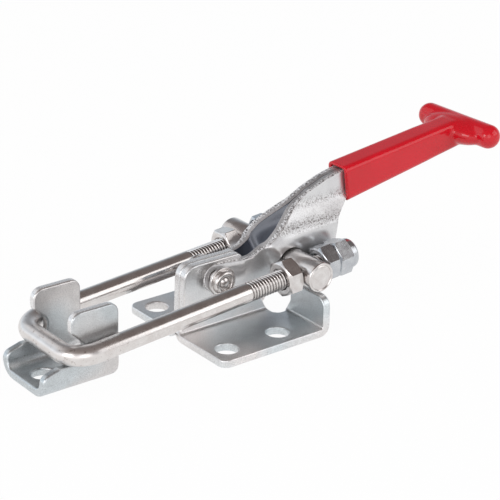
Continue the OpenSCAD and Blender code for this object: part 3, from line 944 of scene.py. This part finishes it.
def cross_grip():
    """The cross bar, rounded over at both ends."""
    obj = added(
        bpy.ops.mesh.primitive_cylinder_add, vertices=ROUND, radius=CROSS_R * MM,
        depth=2 * CROSS_REACH * MM, location=CROSS * MM, rotation=(math.pi / 2, 0, 0),
    )
    place(obj)
    edit(obj, "FACE")
    pick(obj, "faces", lambda f: abs(f.normal.y) > 0.9)
    bpy.ops.mesh.bevel(offset=CROSS_ROUND * MM, segments=12, affect="EDGES", clamp_overlap=False)
    done()
    return obj


def neck():
    """The swelling where the sleeve runs out into the cross bar."""
    obj = added(
        bpy.ops.mesh.primitive_uv_sphere_add, segments=ROUND, ring_count=24, radius=1 * MM,
        location=[x * MM for x in NECK_AT],
    )
    obj.scale = NECK_R
    place(obj)
    return obj


def soften(obj, weight, turns):
    """Smooths obj where weight, a function of the place in millimetres, says so."""
    group = obj.vertex_groups.new(name="soft")
    for v in obj.data.vertices:
        group.add([v.index], max(0.0, min(1.0, weight(v.co / MM))), "REPLACE")
    modifier(obj, "SMOOTH", factor=0.5, iterations=turns, vertex_group="soft")
    obj.vertex_groups.clear()


def overall(p):
    """All of the grip, but only a little of it at the sleeve's mouth."""
    return 1.0 if p.x > 49 else 0.3


def at_neck(p):
    """The neck, most at its middle, fading out towards the cross bar's ends and the sleeve."""
    return 1 - abs(p.y) / 13 if p.x > 84 else (p.x - 78) / 6


body = sleeve()
pocket = sleeve_pocket()
for part in (body, pocket):
    part.data.transform(Matrix.Translation(SLEEVE_A * MM) @ Matrix.Rotation(-SLEEVE_TILT, 4, "Y"))
grip = join([body, cross_grip(), neck()])
modifier(grip, "REMESH", mode="VOXEL", voxel_size=0.28 * MM, use_smooth_shade=True)
combine(grip, pocket, "DIFFERENCE")
modifier(grip, "REMESH", mode="VOXEL", voxel_size=0.25 * MM, use_smooth_shade=True)
soften(grip, overall, 4)
soften(grip, at_neck, 60)
piece(grip, "dipped_grip", "handle", "grip", RED)


# Floor, light and camera
FLOOR_GREY = 0.86
FLOOR_SEEN = 0.965
FLOOR_MIRRORED = 0.78

# The studio's walls from level to straight above, their tint from the sides to the back, and how
# bright they are to the left and to the right
WALLS = [
    (0.0, 0.95), (0.15, (0.85, 0.85, 0.86)), (0.35, (0.55, 0.56, 0.58)),
    (0.50, (0.34, 0.34, 0.35)), (0.72, (0.22, 0.19, 0.18)), (1.0, (0.19, 0.165, 0.16)),
]
WALL_TINT = [(0.0, (1.02, 1.0, 0.99)), (1.0, (0.88, 0.97, 1.04))]
WALL_LEFT = 1.5
WALL_RIGHT = 0.95

KEY_AT = (0.62, -0.66, 0.52)
LATCH = (0, 0, 0.02)

# Each softbox's name, place, aim, size, watts and whether metal mirrors it
LIGHTS = [
    ("key", KEY_AT, LATCH, (0.7, 0.6), 1.7, True),
    ("key_fill", KEY_AT, LATCH, (0.7, 0.6), 3.4, False),
    ("back_left", (-0.42, 0.70, 0.66), LATCH, (0.7, 0.5), 0.6, True),
    ("front_left", (-0.50, -0.90, 0.45), LATCH, (0.6, 0.6), 1.6, True),
    ("left", (-0.98, -0.15, 0.43), LATCH, (0.4, 0.4), 1.8, True),
    ("overhead", (0, 0, 1.1), (0, 0, 0), (1.0, 1.0), 3.3, False),
    ("fill_left", (-0.95, -0.1, 0.55), LATCH, (0.8, 0.8), 1.4, False),
]


def floor():
    """A matt floor that glows white for the camera and, a little less, in reflections."""
    obj = added(bpy.ops.mesh.primitive_plane_add, size=6, location=(0, 0, -0.0002))
    obj.name = "pale_floor"
    material = bpy.data.materials.new("pale_floor")
    material.use_nodes = True
    n = Nodes(material.node_tree)
    paint = n.tree.nodes["Principled BSDF"]
    paint.inputs["Base Color"].default_value = (FLOOR_GREY, FLOOR_GREY, FLOOR_GREY, 1)
    paint.inputs["Roughness"].default_value = 0.9
    paint.inputs["Specular IOR Level"].default_value = 0.0
    glow = n.add("ShaderNodeEmission")
    ray = n.add("ShaderNodeLightPath").outputs
    share = n.sums(
        "MAXIMUM", n.sums("MULTIPLY", ray["Is Camera Ray"], FLOOR_SEEN),
        n.sums("MULTIPLY", ray["Is Glossy Ray"], FLOOR_MIRRORED),
    )
    surface = n.tree.nodes["Material Output"].inputs["Surface"]
    n.shaders(share, paint.outputs[0], glow.outputs[0], surface)
    obj.data.materials.append(material)


def studio():
    """Soft walls all round, darker above, and white where the camera looks past the object."""
    world = bpy.data.worlds.new("studio")
    bpy.context.scene.world = world
    world.use_nodes = True
    n = Nodes(world.node_tree)
    walls = n.tree.nodes["Background"]
    way = n.split(n.add("ShaderNodeTexCoord").outputs["Generated"])
    n.link(n.times(n.ramp(way["Z"], WALLS), n.ramp(way["Y"], WALL_TINT)), walls.inputs["Color"])
    n.link(n.spread(way["X"], WALL_LEFT, WALL_RIGHT, -0.8, 0.5), walls.inputs["Strength"])
    white = n.add("ShaderNodeBackground")
    white.inputs["Strength"].default_value = 1.0
    white.inputs["Color"].default_value = (1, 1, 1, 1)
    ray = n.add("ShaderNodeLightPath").outputs
    surface = n.tree.nodes["World Output"].inputs["Surface"]
    n.shaders(ray["Is Camera Ray"], walls.outputs[0], white.outputs[0], surface)


def softbox(name, at, aim, size, watts, mirrored):
    """A rectangle of light that faces its aim."""
    light = bpy.data.lights.new(name, "AREA")
    light.shape = "RECTANGLE"
    light.size, light.size_y = size
    light.energy = watts
    obj = bpy.data.objects.new(name, light)
    bpy.context.scene.collection.objects.link(obj)
    obj.location = at
    obj.rotation_euler = (Vector(aim) - Vector(at)).to_track_quat("-Z", "Y").to_euler()
    obj.visible_glossy = mirrored


def camera():
    """The camera where the photograph was taken from."""
    data = bpy.data.cameras.new("photo_camera")
    data.lens = CAMERA_LENS
    data.sensor_width = 36
    data.clip_start = 0.01
    obj = bpy.data.objects.new("photo_camera", data)
    bpy.context.scene.collection.objects.link(obj)
    turn = Matrix((CAMERA_RIGHT, CAMERA_UP, [-x for x in CAMERA_AHEAD])).transposed()
    obj.matrix_world = Matrix.Translation(CAMERA_AT) @ turn.to_4x4()
    bpy.context.scene.camera = obj


floor()
studio()
for light in LIGHTS:
    softbox(*light)
camera()
bpy.context.scene.view_settings.view_transform = "Standard"
